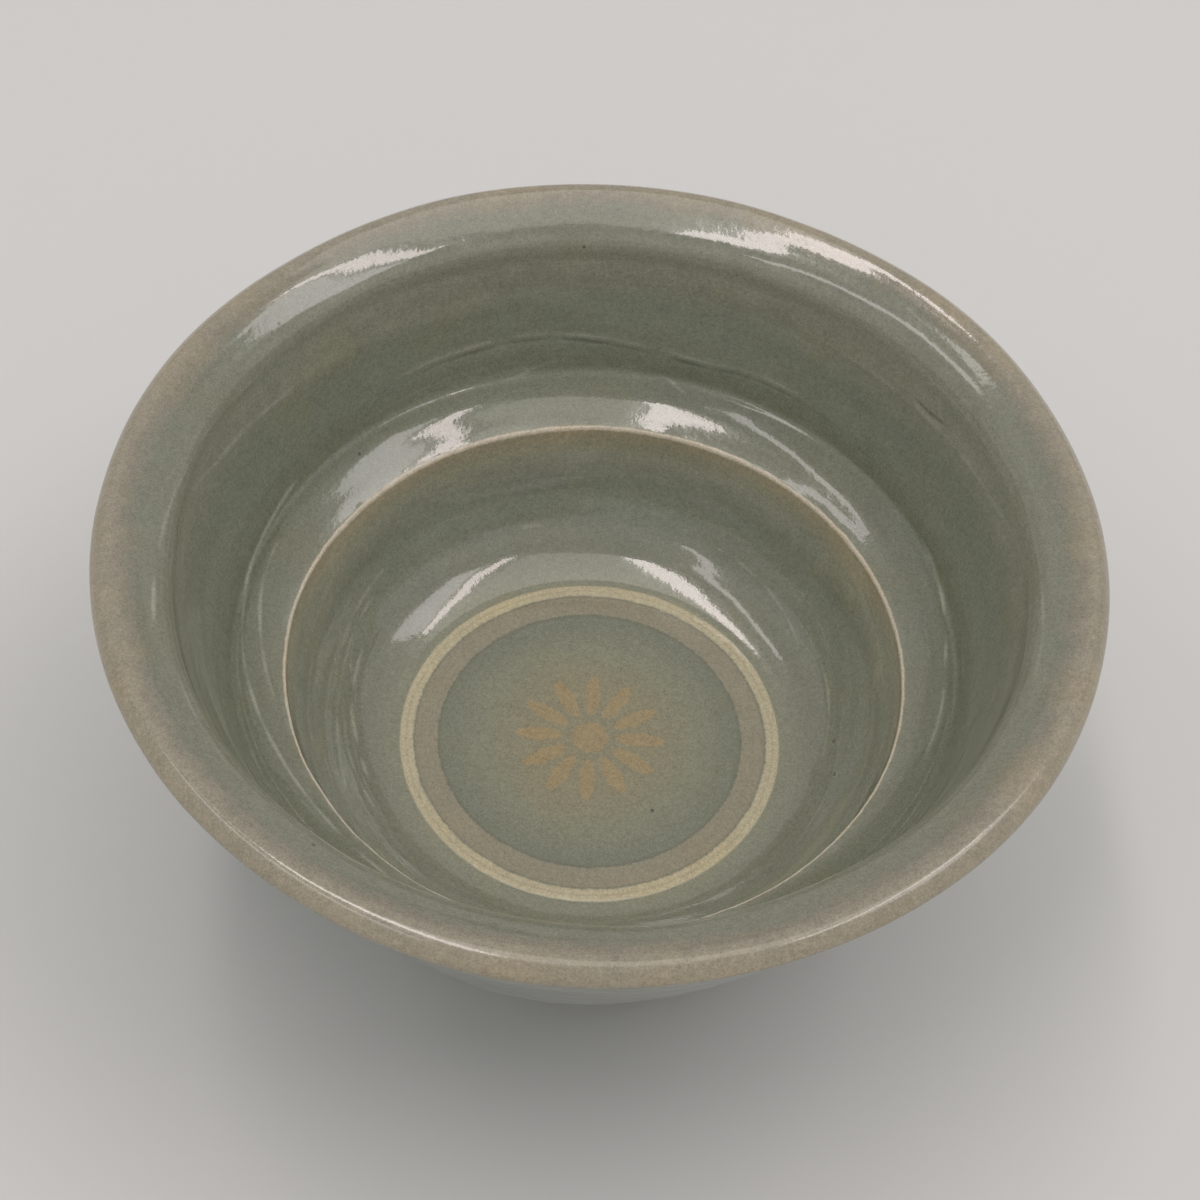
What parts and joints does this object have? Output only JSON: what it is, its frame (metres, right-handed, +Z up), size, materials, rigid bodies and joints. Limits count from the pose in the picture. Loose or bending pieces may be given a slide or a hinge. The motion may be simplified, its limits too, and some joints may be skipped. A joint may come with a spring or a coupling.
{
  "type": "wine cup",
  "caption": "Small round celadon cup with a rounded lip, a ledge inside above a deeper well, a sunken disc in the floor and a turned foot.",
  "frame": {"origin": "centre of the foot's underside, where the cup stands", "axes": "+Z up along the axis of the cup; +X through the first petal of the flower in the floor"},
  "size_m": [0.08, 0.08, 0.0419],
  "materials": {
    "clay": "bare fired stoneware, matte",
    "celadon": "grey-green celadon glaze, glossy",
    "cream_slip": "cream slip, glossy",
    "ochre_slip": "ochre slip, glossy"
  },
  "bodies": {
    "root": {"cup_body": "clay", "bowl_glaze": "celadon", "floor_glaze": "celadon", "recess_glaze": "celadon", "slip_ring": "cream_slip", "flower_centre": "ochre_slip", "petal_01": "ochre_slip", "petal_02": "ochre_slip", "petal_03": "ochre_slip", "petal_04": "ochre_slip", "petal_05": "ochre_slip", "petal_06": "ochre_slip", "petal_07": "ochre_slip", "petal_08": "ochre_slip", "petal_09": "ochre_slip", "petal_10": "ochre_slip", "petal_11": "ochre_slip", "petal_12": "ochre_slip"}
  },
  "joints": []
}
